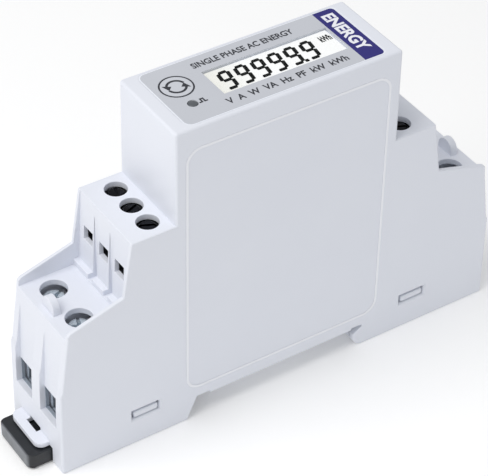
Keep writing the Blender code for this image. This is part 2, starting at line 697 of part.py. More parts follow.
def build_power_terminals(parent):
    cage = solid("power_cage", cage_band)
    shape_with(cage, "UNION", cage_lip)
    shape_with(cage, "DIFFERENCE", cage_tunnel)
    shape_with(cage, "DIFFERENCE", cage_thread)
    cage_mesh = settled_mesh(cage)
    head_height = 2.1 * MM
    head_seat = SHELF_Z[1] + GAP
    tip = BAR_Z[1] + GAP
    screw = solid("power_screw", screw_body, POWER_HEAD_RADIUS, head_height, POWER_SHANK_RADIUS,
                  head_seat - tip)
    shape_with(screw, "DIFFERENCE", cross_recess, 1.75 * MM, 0.3 * MM, (1.1 * MM, 3 * MM))
    screw_mesh = settled_mesh(screw)
    turns = {"left_far": 25, "left_near": 70, "right_far": -10, "right_near": 40}   # degrees
    for name, degrees in turns.items():
        x = -POWER_X if name.startswith("left") else POWER_X
        y = POWER_Y if name.endswith("far") else -POWER_Y
        cage_turn = math.pi if x < 0 else 0.0
        finish(copy_of(cage_mesh, "power_cage_" + name), parent, "zinc_steel", (x, y, 0), cage_turn)
        finish(copy_of(screw_mesh, "power_screw_" + name), parent, "zinc_steel", (x, y, head_seat),
               math.radians(degrees))


# Signal terminals: a block of three small clamps at each end

BLOCK_Z = (28.0 * MM, 39.0 * MM)
LEDGE_Z = (37.8 * MM, 38.4 * MM)      # ledge under the small screws' heads
CELL_X = (23.2 * MM, 27.6 * MM)
SLOT_TURNS = (-25, 20, 65)            # degrees, near to far


def terminal_block_body(bm, side):
    x = (21.2 * MM, BLOCK_FACE_X)
    add_box(bm, x if side > 0 else mirrored(x), (-7.25 * MM, 7.25 * MM), BLOCK_Z)


def terminal_cells(bm, side):
    for row in signal_rows():
        add_box(bm, CELL_X if side > 0 else mirrored(CELL_X), (row - 2.1 * MM, row + 2.1 * MM),
                (28.8 * MM, LEDGE_Z[0]))


def terminal_ports(bm, side):
    """Wire ports in the outer wall and contact slots in the inner wall."""
    port = (27.3 * MM, 30 * MM)
    slot = (20.5 * MM, 23.5 * MM)
    for row in signal_rows():
        add_box(bm, port if side > 0 else mirrored(port), (row - 1.45 * MM, row + 1.45 * MM),
                SIGNAL_ENTRY_Z)
        add_box(bm, slot if side > 0 else mirrored(slot), (row - 1.1 * MM, row + 1.1 * MM),
                (33.9 * MM, 35.0 * MM))


def terminal_shank_holes(bm, side):
    for row in signal_rows():
        add_cylinder(bm, (side * SIGNAL_X, row), SIGNAL_SHANK_RADIUS + GAP, (37 * MM, 38.8 * MM),
                     SMALL_ROUND)


def terminal_head_bores(bm, side):
    for row in signal_rows():
        add_cylinder(bm, (side * SIGNAL_X, row), SIGNAL_HEAD_RADIUS + GAP, (LEDGE_Z[1], 40 * MM),
                     SMALL_ROUND)


def clamp_band(bm):
    add_box(bm, (-1.9 * MM, 1.9 * MM), (-1.8 * MM, 1.8 * MM), (30.6 * MM, 35.7 * MM))


def clamp_tunnel(bm):
    add_box(bm, (-3 * MM, 3 * MM), (-1.3 * MM, 1.3 * MM), (31.3 * MM, 35.1 * MM))


def clamp_thread(bm):
    add_cylinder(bm, (0, 0), SIGNAL_SHANK_RADIUS + GAP, (34.5 * MM, 37 * MM), SMALL_ROUND)


def contact_strip(bm, side, row):
    x = (21.5 * MM, 26.9 * MM)
    add_box(bm, x if side > 0 else mirrored(x), (row - 0.8 * MM, row + 0.8 * MM),
            (34.2 * MM, 34.7 * MM))


def build_signal_terminals(parent):
    clamp = solid("signal_clamp", clamp_band)
    shape_with(clamp, "DIFFERENCE", clamp_tunnel)
    shape_with(clamp, "DIFFERENCE", clamp_thread)
    clamp_mesh = settled_mesh(clamp)
    head_seat = LEDGE_Z[1] + GAP
    screw = solid("signal_screw", screw_body, SIGNAL_HEAD_RADIUS, 1.1 * MM, SIGNAL_SHANK_RADIUS,
                  head_seat - 35.0 * MM)
    shape_with(screw, "DIFFERENCE", slot_recess, 3 * MM, 0.25 * MM, (0.5 * MM, 3 * MM))
    screw_mesh = settled_mesh(screw)
    for end, side in (("left", -1), ("right", 1)):
        holder = solid("signal_block_" + end, terminal_block_body, side)
        for fill in (terminal_cells, terminal_ports, terminal_shank_holes, terminal_head_bores):
            shape_with(holder, "DIFFERENCE", fill, side)
        finish(holder, parent, "black_plastic")
        rows = zip(("near", "middle", "far"), signal_rows(), SLOT_TURNS)
        for place, row, degrees in rows:
            name = end + "_" + place
            axis_foot = (side * SIGNAL_X, row, 0)
            finish(copy_of(clamp_mesh, "signal_clamp_" + name), parent, "zinc_steel", axis_foot)
            finish(copy_of(screw_mesh, "signal_screw_" + name), parent, "black_steel",
                   (side * SIGNAL_X, row, head_seat), math.radians(degrees))
            finish(solid("signal_contact_" + name, contact_strip, side, row), parent, "copper")


def main():
    for obj in list(bpy.data.objects):
        bpy.data.objects.remove(obj)
    for name in COLOURS:
        make_material(name)
    seat = bpy.data.objects.new("rail_seat_origin", None)
    bpy.context.scene.collection.objects.link(seat)
    build_front_housing(seat)
    build_rear_base(seat)
    build_rail_clip(seat)
    build_front_pieces(seat)
    build_display(seat)
    build_main_board(seat)
    build_bars(seat)
    build_power_terminals(seat)
    build_signal_terminals(seat)


main()
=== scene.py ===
import math

import bpy
from mathutils import Matrix, Vector


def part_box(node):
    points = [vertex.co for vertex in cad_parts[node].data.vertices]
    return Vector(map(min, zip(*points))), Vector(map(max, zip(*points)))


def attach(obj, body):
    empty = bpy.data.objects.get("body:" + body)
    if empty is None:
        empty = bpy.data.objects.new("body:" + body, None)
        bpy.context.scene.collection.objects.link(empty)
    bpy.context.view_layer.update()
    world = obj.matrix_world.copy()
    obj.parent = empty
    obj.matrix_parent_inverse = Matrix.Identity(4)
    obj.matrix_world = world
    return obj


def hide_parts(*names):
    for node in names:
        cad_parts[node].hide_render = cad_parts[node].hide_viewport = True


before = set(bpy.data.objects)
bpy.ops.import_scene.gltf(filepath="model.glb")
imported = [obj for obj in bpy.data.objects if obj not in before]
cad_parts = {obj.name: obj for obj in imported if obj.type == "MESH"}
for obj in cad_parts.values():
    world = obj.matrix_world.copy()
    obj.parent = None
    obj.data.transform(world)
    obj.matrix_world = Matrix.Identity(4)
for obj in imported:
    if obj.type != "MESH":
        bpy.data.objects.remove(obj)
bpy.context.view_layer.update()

mm = 0.001
ends = ("left", "right")
powerNames = [end + "_" + side for end in ends for side in ("far", "near")]
signalNames = [end + "_" + side for end in ends for side in ("near", "middle", "far")]
past = 1 * mm       # how far a cutter reaches beyond what it cuts
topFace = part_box("label_overlay")[1].z      # front of the meter
print("frame loaded:", len(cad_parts), "nodes")


# camera and lights
cameraView = {
    "azimuth": -33.81,      # degrees, 0 looks along +Y
    "elevation": 39.73,
    "roll": 1.17,
    "distance": 0.384,
    "lens": 159.0,          # on a 36 mm sensor
    "aim": (0.00112, 0.00621, 0.01741),
}


def addCamera():
    azimuth = math.radians(cameraView["azimuth"])
    elevation = math.radians(cameraView["elevation"])
    back = Vector((math.sin(azimuth) * math.cos(elevation),
                   -math.cos(azimuth) * math.cos(elevation), math.sin(elevation)))
    level = Vector((math.cos(azimuth), math.sin(azimuth), 0))
    levelUp = back.cross(level)
    roll = math.radians(cameraView["roll"])
    right = math.cos(roll) * level + math.sin(roll) * levelUp
    up = back.cross(right)
    bpy.ops.object.camera_add(location=Vector(cameraView["aim"]) + back * cameraView["distance"])
    camera = bpy.context.object
    camera.rotation_mode = "QUATERNION"
    camera.rotation_quaternion = Matrix((right, up, back)).transposed().to_quaternion()
    camera.data.lens = cameraView["lens"]
    camera.data.clip_start = 0.01
    bpy.context.scene.camera = camera
    print("camera placed")


lightRig = {
    "sky": {"colour": (0.98, 0.99, 1.0), "strength": 0.54},
    "key": {"place": (-0.33, 0.0, 0.59), "size": 0.45, "watts": 2.4,
            "colour": (1.0, 0.99, 0.98)},
    "fill": {"place": (0.10, -0.60, 0.30), "size": 0.60, "watts": 0.02,
             "colour": (0.97, 0.98, 1.0)},
}


def addLights():
    world = bpy.data.worlds.new("studio")
    bpy.context.scene.world = world
    world.use_nodes = True
    sky = world.node_tree.nodes["Background"]
    sky.inputs["Color"].default_value = (*lightRig["sky"]["colour"], 1)
    sky.inputs["Strength"].default_value = lightRig["sky"]["strength"]
    for name in ("key", "fill"):
        rig = lightRig[name]
        place = Vector(rig["place"])
        bpy.ops.object.light_add(type="AREA", location=place)
        light = bpy.context.object
        light.name = name + "_light"
        beam = Vector(cameraView["aim"]) - place
        light.rotation_euler = beam.to_track_quat("-Z", "Y").to_euler()
        light.data.size = rig["size"]
        light.data.energy = rig["watts"]
        light.data.color = rig["colour"]
    bpy.context.scene.view_settings.view_transform = "Standard"
    print("lights placed")


# shader maths: a Wire is one output socket, and sums on wires add Math nodes
class Wire:
    def __init__(self, paint, socket):
        self.paint, self.socket = paint, socket

    def maths(self, operation, first, second):
        return self.paint.add("ShaderNodeMath", {"operation": operation}, {0: first, 1: second})

    def __add__(self, other):
        return self.maths("ADD", self, other)

    def __radd__(self, other):
        return self.maths("ADD", other, self)

    def __sub__(self, other):
        return self.maths("SUBTRACT", self, other)

    def __rsub__(self, other):
        return self.maths("SUBTRACT", other, self)

    def __mul__(self, other):
        return self.maths("MULTIPLY", self, other)

    def __rmul__(self, other):
        return self.maths("MULTIPLY", other, self)


class Paint:
    def __init__(self, name, metallic=0.0):
        self.material = bpy.data.materials.new(name)
        self.material.use_nodes = True
        self.tree = self.material.node_tree
        self.shader = self.tree.nodes["Principled BSDF"]
        self.shader.inputs["Metallic"].default_value = metallic
        self.place = self.add("ShaderNodeTexCoord", {}, {}, "Object")

    def add(self, kind, settings, sockets, output=0):
        # settings come before sockets, because they decide which sockets the node has
        node = self.tree.nodes.new(kind)
        for key, value in settings.items():
            setattr(node, key, value)
        for key, value in sockets.items():
            if isinstance(value, Wire):
                self.tree.links.new(value.socket, node.inputs[key])
            else:
                node.inputs[key].default_value = value
        return Wire(self, node.outputs[output])

    def put(self, **sockets):
        # values or wires for the shader's own sockets, with _ for each space
        for name, value in sockets.items():
            target = self.shader.inputs[name.replace("_", " ")]
            if isinstance(value, Wire):
                self.tree.links.new(value.socket, target)
            else:
                target.default_value = value

    def noise(self, scale, detail=3.0, where=None):
        return self.add("ShaderNodeTexNoise", {}, {"Vector": where or self.place, "Scale": scale,
                                                   "Detail": detail})

    def stretched(self, scale):
        return self.add("ShaderNodeMapping", {}, {"Vector": self.place, "Scale": scale})

    def steps(self, value, low, high):
        # 0 below low and 1 above high, straight between
        return self.add("ShaderNodeMapRange", {}, {"Value": value, "From Min": low,
                                                   "From Max": high})

    def blend(self, factor, first, second):
        # a colour mix, whose factor, colours and result are sockets 0, 6, 7 and 2
        return self.add("ShaderNodeMix", {"data_type": "RGBA"}, {0: factor, 6: first, 7: second}, 2)

    def bump(self, height, depth):
        self.put(Normal=self.add("ShaderNodeBump", {}, {"Height": height, "Distance": depth}))


def tone(red, green, blue):
    # screen colour, 0 to 255, as the linear colour that a shader takes
    return (*[((value / 255 + 0.055) / 1.055) ** 2.4 for value in (red, green, blue)], 1)


# finishes, each from a few procedural nodes on object coordinates
mouldedGrain = 2600     # noise scale of the fine grain on moulded plastic
mouldedPlastics = {
    # light and dark tone, roughness, grain depth in mm
    "white_plastic": ((232, 235, 243), (228, 231, 240), 0.42, 0.010),
    "base_plastic": ((230, 233, 241), (224, 228, 236), 0.50, 0.012),
    "black_plastic": ((58, 61, 65), (46, 49, 53), 0.42, 0.016),
    # painted highlight: paler than the housing, for the bead along each side panel's edge
    "panel_edge_highlight": ((247, 248, 253), (242, 244, 250), 0.40, 0.008),
    "terminal_plastic": ((30, 31, 34), (22, 23, 26), 0.40, 0.012),
    "chip_resin": ((42, 42, 45), (30, 30, 33), 0.55, 0.014),
    "elastomer": ((66, 66, 70), (48, 48, 52), 0.75, 0.014),
}


def mouldedPlastic(name):
    light, dark, roughness, grain = mouldedPlastics[name]
    paint = Paint(name)
    clouds = paint.noise(70, 2.0)
    grains = paint.noise(mouldedGrain, 4.0)
    paint.put(Base_Color=paint.blend(clouds, tone(*dark), tone(*light)),
              Roughness=roughness - 0.05 + 0.10 * grains)
    paint.bump(grains, grain * mm)
    return paint.material


printedFilms = {
    # light and dark tone, roughness
    "label_film": ((203, 206, 213), (192, 195, 203), 0.48),
    "button_film": ((208, 211, 218), (198, 201, 209), 0.45),
    "band_ink": ((38, 34, 124), (30, 26, 110), 0.50),
    "white_ink": ((246, 247, 252), (236, 238, 246), 0.50),
    "dark_ink": ((50, 52, 60), (40, 42, 50), 0.55),
    "lcd_ink": ((10, 10, 12), (6, 6, 8), 0.60),
    "backing": ((240, 243, 250), (232, 236, 244), 0.50),
}


def printedFilm(name):
    light, dark, roughness = printedFilms[name]
    paint = Paint(name)
    stipple = paint.noise(4200, 2.0)
    waves = paint.noise(110, 1.0)
    paint.put(Base_Color=paint.blend(waves * 0.7 + stipple * 0.3, tone(*dark), tone(*light)),
              Roughness=roughness + 0.08 * stipple)
    paint.bump(stipple, 0.003 * mm)
    if name == "lcd_ink":
        paint.put(Specular_IOR_Level=0.08)      # liquid crystal under a film hardly shines
    return paint.material


platedMetals = {
    # light and dark tone, roughness, metallic, fineness of the brushing along x, y and z
    "zinc_steel": ((226, 234, 240), (186, 198, 208), 0.26, 0.5, (30, 400, 30)),
    "black_steel": ((44, 44, 48), (28, 28, 32), 0.20, 1.0, (400, 400, 30)),
    "dull_zinc": ((192, 202, 214), (162, 172, 184), 0.50, 0.35, (30, 400, 30)),
    "copper": ((226, 164, 126), (196, 128, 92), 0.32, 1.0, (30, 500, 30)),
    "manganin": ((178, 158, 136), (152, 132, 112), 0.40, 1.0, (30, 500, 30)),
}


def platedMetal(name):
    light, dark, roughness, metallic, brushing = platedMetals[name]
    paint = Paint(name, metallic)
    brushed = paint.noise(12, 5.0, paint.stretched(brushing))
    stains = paint.noise(500, 3.0)
    paint.put(Base_Color=paint.blend(brushed * 0.6 + stains * 0.4, tone(*dark), tone(*light)),
              Roughness=roughness - 0.08 + 0.16 * stains)
    paint.bump(brushed, 0.004 * mm)
    return paint.material


def clipPlastic():
    # black, with painted light on the pull face at its outer end, which faces the key light, broken
    # up by scuffs
    paint = Paint("clip_plastic")
    along = paint.add("ShaderNodeSeparateXYZ", {}, {"Vector": paint.place}, "X")
    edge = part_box("rail_clip")[0].x
    # painted light: mask of the pull face that the key light falls on, lifted towards a pale grey
    paintedPullLight = 1 - paint.steps(along, edge + 0.02 * mm, edge + 0.35 * mm)
    grains = paint.noise(mouldedGrain, 4.0)
    scuffs = paint.noise(500, 5.0)
    black = paint.blend(scuffs, tone(24, 26, 30), tone(38, 41, 46))
    paint.put(Base_Color=paint.blend(paintedPullLight * (0.35 + 0.65 * scuffs), black, tone(136, 140, 146)),
              Roughness=0.36 + 0.12 * grains)
    paint.bump(grains, 0.016 * mm)
    return paint.material


def clearPlate():
    paint = Paint("clear_plastic")
    smudges = paint.noise(260, 3.0)
    paint.put(Base_Color=tone(70, 76, 74), Roughness=0.05 + 0.06 * smudges, Alpha=0.06)
    return paint.material


def displayPanel():
    # pale reflector, a little creamier towards the button's end, with a painted glow that lifts it
    # out of the shade of its recess
    paint = Paint("display_glass")
    along = paint.add("ShaderNodeSeparateXYZ", {}, {"Vector": paint.place}, "X")
    cream = 1 - paint.steps(along, -9 * mm, -2 * mm)
    grain = paint.noise(5200, 2.0)
    glow = paint.blend(cream, tone(250, 251, 251), tone(236, 236, 230))
    # painted glow: the emission brightens the display against the shade of its recess
    paint.put(Base_Color=glow, Roughness=0.35 + 0.1 * grain, Emission_Color=glow,
              Emission_Strength=0.30)
    paint.bump(grain, 0.002 * mm)
    return paint.material


def smokedLamp():
    paint = Paint("lamp_plastic")
    murk = paint.noise(900, 2.0)
    paint.put(Base_Color=paint.blend(murk, tone(72, 76, 82), tone(96, 100, 106)),
              Roughness=0.28 + 0.08 * murk, Coat_Weight=0.3)
    return paint.material


def whiteDiffuser():
    paint = Paint("diffuser")
    specks = paint.noise(1800, 3.0)
    paint.put(Base_Color=paint.blend(specks, tone(232, 234, 230), tone(246, 247, 244)),
              Roughness=0.5 + 0.1 * specks)
    paint.bump(specks, 0.004 * mm)
    return paint.material


def circuitBoard():
    # solder mask over tracks, which show as slightly raised lighter cells
    paint = Paint("circuit_board")
    cells = paint.add("ShaderNodeTexVoronoi",
                      {"feature": "DISTANCE_TO_EDGE", "distance": "CHEBYCHEV"},
                      {"Vector": paint.place, "Scale": 420, "Randomness": 0.75})
    tracks = 1 - paint.steps(cells, 0.05, 0.09)
    weave = paint.noise(2400, 2.0)
    paint.put(Base_Color=paint.blend(tracks, tone(22, 92, 52), tone(44, 128, 78)),
              Roughness=0.34 + 0.14 * weave)
    paint.bump(tracks + 0.2 * weave, 0.02 * mm)
    return paint.material


dippedCases = {
    # light and dark tone, roughness
    "capacitor_case": ((206, 170, 62), (188, 150, 46), 0.35),
    "capacitor_sleeve": ((40, 52, 92), (28, 38, 74), 0.30),
    "varistor_coat": ((44, 98, 160), (32, 82, 142), 0.36),
}


def dippedCase(name):
    light, dark, roughness = dippedCases[name]
    paint = Paint(name)
    runs = paint.noise(300, 2.0)
    paint.put(Base_Color=paint.blend(runs, tone(*dark), tone(*light)),
              Roughness=roughness + 0.1 * runs)
    paint.bump(runs, 0.03 * mm)
    return paint.material


finishes = {}


def mixFinishes():
    for recipes, mix in ((mouldedPlastics, mouldedPlastic), (printedFilms, printedFilm),
                         (platedMetals, platedMetal), (dippedCases, dippedCase)):
        for name in recipes:
            finishes[name] = mix(name)
    finishes["clip_plastic"] = clipPlastic()
    finishes["clear_plastic"] = clearPlate()
    finishes["display_glass"] = displayPanel()
    finishes["lamp_plastic"] = smokedLamp()
    finishes["diffuser"] = whiteDiffuser()
    finishes["circuit_board"] = circuitBoard()
    print("finishes mixed:", len(finishes))


# helpers for modelling
def only(piece):
    bpy.ops.object.select_all(action="DESELECT")
    piece.select_set(True)
    bpy.context.view_layer.objects.active = piece


def startPiece(name):
    piece = bpy.context.object
    piece.name = name
    piece.data.name = name
    return piece


def addBox(name, low, high):
    low, high = Vector(low), Vector(high)
    bpy.ops.object.select_all(action="DESELECT")
    bpy.ops.mesh.primitive_cube_add(size=1, location=(low + high) / 2, scale=high - low)
    bpy.ops.object.transform_apply(location=True, rotation=True, scale=True)
    return startPiece(name)


def addDisc(name, centre, radius, low, high, sides=64):
    bpy.ops.object.select_all(action="DESELECT")
    bpy.ops.mesh.primitive_cylinder_add(vertices=sides, radius=radius, depth=high - low,
                                        location=(centre[0], centre[1], (low + high) / 2))
    bpy.ops.object.transform_apply(location=True, rotation=True, scale=True)
    return startPiece(name)


def chooseEdges(piece, wanted):
    # selects the edges whose two end points pass the test, and stays in edit mode
    only(piece)
    bpy.ops.object.mode_set(mode="EDIT")
    bpy.ops.mesh.select_mode(type="EDGE")
    bpy.ops.mesh.select_all(action="DESELECT")
    bpy.ops.object.mode_set(mode="OBJECT")
    points = piece.data.vertices
    for edge in piece.data.edges:
        edge.select = wanted(*[points[index].co for index in edge.vertices])
    bpy.ops.object.mode_set(mode="EDIT")


def roundEdges(piece, wanted, radius, segments):
    chooseEdges(piece, wanted)
    bpy.ops.mesh.bevel(offset=radius, segments=segments, affect="EDGES", clamp_overlap=False)
    bpy.ops.object.mode_set(mode="OBJECT")


def upright(a, b):
    # an edge along z
    return abs(a.z - b.z) > 0.01 * mm and (a.xy - b.xy).length < 0.01 * mm


def crosswise(a, b):
    # an edge along y
    return abs(a.y - b.y) > 0.01 * mm and (a - b).length < abs(a.y - b.y) + 0.001 * mm


def applied(piece, kind, **settings):
    only(piece)
    modifier = piece.modifiers.new(kind.lower(), kind)
    for key, value in settings.items():
        setattr(modifier, key, value)
    bpy.ops.object.modifier_apply(modifier=modifier.name)


def combined(piece, tools, operation="DIFFERENCE"):
    for tool in tools:
        applied(piece, "BOOLEAN", object=tool, operation=operation, solver="EXACT")
        bpy.data.objects.remove(tool)
    return piece


def joined(name, pieces):
    # the pieces as one, which stay separate shells
    bpy.ops.object.select_all(action="DESELECT")
    for piece in pieces:
        piece.select_set(True)
    bpy.context.view_layer.objects.active = pieces[0]
    bpy.ops.object.join()
    return startPiece(name)


def turnAbout(piece, centre, degrees):
    # turns the mesh about an upright line through the centre
    only(piece)
    bpy.ops.object.mode_set(mode="EDIT")
    bpy.ops.mesh.select_all(action="SELECT")
    bpy.ops.transform.rotate(value=math.radians(degrees), orient_axis="Z",
                             center_override=(*centre, 0))
    bpy.ops.object.mode_set(mode="OBJECT")


def smooth(piece, angle=32):
    # shades smooth, apart from bends sharper than the angle in degrees
    only(piece)
    bpy.ops.object.shade_smooth_by_angle(angle=math.radians(angle))


softening = {
    "sharp": math.radians(24),          # faces that meet at less than this stay as they are
    "share": 0.33,                      # most that a bevel takes of the shortest edge beside it
    "merge": 0.004 * mm,                # points closer than this become one
    "flat": math.radians(0.6),          # faces that bend less than this become one
    "cornerSteps": 5,
}


def outerCorner(mesh, edge, faces):
    # true where two faces meet in a sharp bend with the solid on its inside
    if len(faces) != 2:
        return False
    first, second = [mesh.polygons[index] for index in faces]
    if first.normal.angle(second.normal, 0) < softening["sharp"]:
        return False
    ring = list(first.vertices)
    start, stop = edge.vertices
    if ring[(ring.index(start) + 1) % len(ring)] != stop:
        start, stop = stop, start
    along = mesh.vertices[stop].co - mesh.vertices[start].co
    return first.normal.cross(second.normal).dot(along) > 0


def softenEdges(piece, width, segments=2, widthAt=None):
    # bevels each outer edge by the width, or by less where the edges beside it are short
    mesh = piece.data
    sides = {edge.key: [] for edge in mesh.edges}
    for face in mesh.polygons:
        for key in face.edge_keys:
            sides[key].append(face.index)
    sharp = [edge for edge in mesh.edges if outerCorner(mesh, edge, sides[edge.key])]
    shortest = {}
    for edge in sharp:
        a, b = [mesh.vertices[index].co for index in edge.vertices]
        for index in edge.vertices:
            shortest[index] = min(shortest.get(index, 1.0), (a - b).length)
    weights = mesh.attributes.new("bevel_weight_edge", "FLOAT", "EDGE")
    for edge in sharp:
        room = softening["share"] * min(shortest[index] for index in edge.vertices)
        if widthAt:
            room = min(room, widthAt(*[mesh.vertices[index].co for index in edge.vertices]))
        weights.data[edge.index].value = min(1.0, room / width)
    applied(piece, "BEVEL", width=width, segments=segments, limit_method="WEIGHT",
            use_clamp_overlap=False, loop_slide=False)
    smooth(piece)
    applied(piece, "WEIGHTED_NORMAL", keep_sharp=True, weight=80)


def refinedCopy(node, width, segments=2, corner=None, widthAt=None):
    # copy of a CAD node with its points merged, its flat faces whole and its edges softened
    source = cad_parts[node]
    piece = bpy.data.objects.new(node + "_fine", source.data.copy())
    bpy.context.scene.collection.objects.link(piece)
    piece.data.materials.clear()
    only(piece)
    bpy.ops.mesh.customdata_custom_splitnormals_clear()
    bpy.ops.object.mode_set(mode="EDIT")
    bpy.ops.mesh.select_all(action="SELECT")
    bpy.ops.mesh.remove_doubles(threshold=softening["merge"])
    bpy.ops.mesh.dissolve_limited(angle_limit=softening["flat"])
    bpy.ops.object.mode_set(mode="OBJECT")
    if corner:
        isOuter, radius = corner
        roundEdges(piece, lambda a, b: upright(a, b) and isOuter(a), radius,
                   softening["cornerSteps"])
    softenEdges(piece, width, segments, widthAt)
    return piece


def settle(piece, finish, body, nodes=()):
    # finish and body of a piece, and the nodes that it stands for
    piece.data.materials.clear()
    piece.data.materials.append(finishes[finish])
    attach(piece, body)
    if nodes:
        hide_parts(*nodes)
    return piece


# moulded pieces, which are finer copies of their CAD nodes
mouldings = {
    # node: edge radius, segments, finish, body
    "front_housing": (0.55 * mm, 3, "white_plastic", "enclosure"),
    "rear_base": (0.30 * mm, 2, "base_plastic", "enclosure"),
    "rail_clip": (0.45 * mm, 3, "clip_plastic", "rail_clip"),
    "signal_block_left": (0.20 * mm, 2, "terminal_plastic", "enclosure"),
    "signal_block_right": (0.20 * mm, 2, "terminal_plastic", "enclosure"),
    "lcd_frame": (0.15 * mm, 2, "terminal_plastic", "enclosure"),
    "board_header": (0.20 * mm, 2, "terminal_plastic", "enclosure"),
    "tact_switch_body": (0.15 * mm, 2, "chip_resin", "enclosure"),
    "tact_switch_plunger": (0.12 * mm, 2, "black_plastic", "switch_plunger"),
}


housingPlan = {
    "side": 8.7 * mm,           # an edge further out than this is on a side wall's outline
    "rim": 1 * mm,              # depth of the rim round the label
    "fineEdge": 0.12 * mm,      # windows, holes and steps
    "rimEdge": 0.22 * mm,       # the far rim is narrow
}
clipPlan = {
    "pull": 0.1 * mm,           # depth in which the pull end's two corners are looked for
    "corner": 1.3 * mm,         # their radius
}


def housingWidth(a, b):
    # broad rounding on the outline of the side walls, and less elsewhere
    side = housingPlan["side"]
    if abs(a.y) < side and abs(b.y) < side:
        return housingPlan["fineEdge"]
    if min(a.y, b.y) > side and min(a.z, b.z) > topFace - housingPlan["rim"]:
        return housingPlan["rimEdge"]
    return mouldings["front_housing"][0]


def makeMouldings():
    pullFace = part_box("rail_clip")[0].x + clipPlan["pull"]
    corners = {"rail_clip": (lambda point: point.x < pullFace, clipPlan["corner"])}
    widths = {"front_housing": housingWidth}
    for node, (radius, segments, finish, body) in mouldings.items():
        piece = refinedCopy(node, radius, segments, corners.get(node), widths.get(node))
        settle(piece, finish, body, [node])
        print("moulding", node, len(piece.data.polygons), "faces")


panelPlan = {
    "x": (-20.25 * mm, 20.25 * mm),     # reaches a little into the wall, so that no gap shows
    "z": (2.45 * mm, 55.05 * mm),
    "y": (8.65 * mm, 8.74 * mm),        # from the panel's floor to just under the wall's face
    "radius": 2.95 * mm,
    "width": 0.50 * mm,
    "edge": 0.06 * mm,          # rounding of the bead's own edges
}


def makePanelEdges():
    # soft bead along the edge of the shallow panel on each side wall, in a paler finish that paints
    # a highlight along that edge
    x, z, width = panelPlan["x"], panelPlan["z"], panelPlan["width"]
    low, high = panelPlan["y"]
    for side, start, stop in (("far", low, high), ("near", -high, -low)):
        bead = addBox("panel_edge_highlight_" + side, (x[0], start, z[0]), (x[1], stop, z[1]))
        roundEdges(bead, crosswise, panelPlan["radius"], 8)
        inner = addBox("inner_tool", (x[0] + width, start - past, z[0] + width),
                       (x[1] - width, stop + past, z[1] - width))
        roundEdges(inner, crosswise, panelPlan["radius"] - width, 8)
        combined(bead, [inner])
        softenEdges(bead, panelPlan["edge"])
        settle(bead, "panel_edge_highlight", "enclosure")
    print("panel edges made")


# boards, chips, display stack, bars and capacitors inside the housing
insides = {
    # node: edge radius, finish
    "display_board": (0.12 * mm, "circuit_board"),
    "main_board": (0.12 * mm, "circuit_board"),
    "metering_chip": (0.12 * mm, "chip_resin"),
    "microcontroller": (0.12 * mm, "chip_resin"),
    "optocoupler_left": (0.12 * mm, "chip_resin"),
    "optocoupler_right": (0.12 * mm, "chip_resin"),
    "crystal_can": (0.5 * mm, "zinc_steel"),
    "film_capacitor": (0.5 * mm, "capacitor_case"),
    "electrolytic_capacitor": (0.5 * mm, "capacitor_sleeve"),
    "varistor": (0.9 * mm, "varistor_coat"),
    "neutral_bar": (0.2 * mm, "copper"),
    "line_bar_left": (0.2 * mm, "copper"),
    "line_bar_right": (0.2 * mm, "copper"),
    "shunt_resistor": (0.2 * mm, "manganin"),
    "lcd_glass": (0.1 * mm, "display_glass"),
    "lcd_backlight": (0.2 * mm, "diffuser"),
    "pulse_led": (0.15 * mm, "diffuser"),
    "zebra_strip_near": (0.15 * mm, "elastomer"),
    "zebra_strip_far": (0.15 * mm, "elastomer"),
}
for name in signalNames:
    insides["signal_contact_" + name] = (0.08 * mm, "copper")


def makeInsides():
    for node, (radius, finish) in insides.items():
        settle(refinedCopy(node, radius), finish, "enclosure", [node])
    print("insides made:", len(insides))


# linings of the wire holes at both ends
mouths = {
    "power": {
        "rows": (-4.2 * mm, 4.2 * mm),
        "half": 2.8 * mm,                   # half of the opening's width
        "z": (5.1 * mm, 10.2 * mm),
        "depth": (43.32 * mm, 43.92 * mm),  # inner and outer end, from the middle of the meter
        "finish": "dull_zinc",
        "slot": "zinc_steel",
    },
    "signal": {
        "rows": (-5.08 * mm, 0, 5.08 * mm),
        "half": 1.45 * mm,
        "z": (31.3 * mm, 34.1 * mm),
        "depth": (29.55 * mm, 30.15 * mm),
        "finish": "terminal_plastic",
        "slot": "black_plastic",
    },
}
mouthWall = 0.10 * mm       # thickness of each sleeve


def makeMouths():
    # thin sleeves that line each wire hole behind its rim
    for kind, plan in mouths.items():
        half, (low, high) = plan["half"], plan["z"]
        for end, side in zip(ends, (-1, 1)):
            start, stop = sorted(side * depth for depth in plan["depth"])
            sleeves = []
            for middle in plan["rows"]:
                sleeve = addBox("sleeve", (start, middle - half, low), (stop, middle + half, high))
                bore = addBox("bore_tool",
                              (start - past, middle - half + mouthWall, low + mouthWall),
                              (stop + past, middle + half - mouthWall, high - mouthWall))
                sleeves.append(combined(sleeve, [bore]))
            lining = joined(kind + "_mouths_" + end, sleeves)
            settle(lining, plan["finish"], "enclosure")
    print("mouths made")


clamps = {
    # start of the node's name: its places, edge radius, segments
    "power_cage_": (powerNames, 0.25 * mm, 3),
    "signal_clamp_": (signalNames, 0.12 * mm, 2),
}


def makeClamps():
    for kind, (names, radius, segments) in clamps.items():
        for name in names:
            node = kind + name
            settle(refinedCopy(node, radius, segments), "dull_zinc", node, [node])
    print("cages and clamps made")


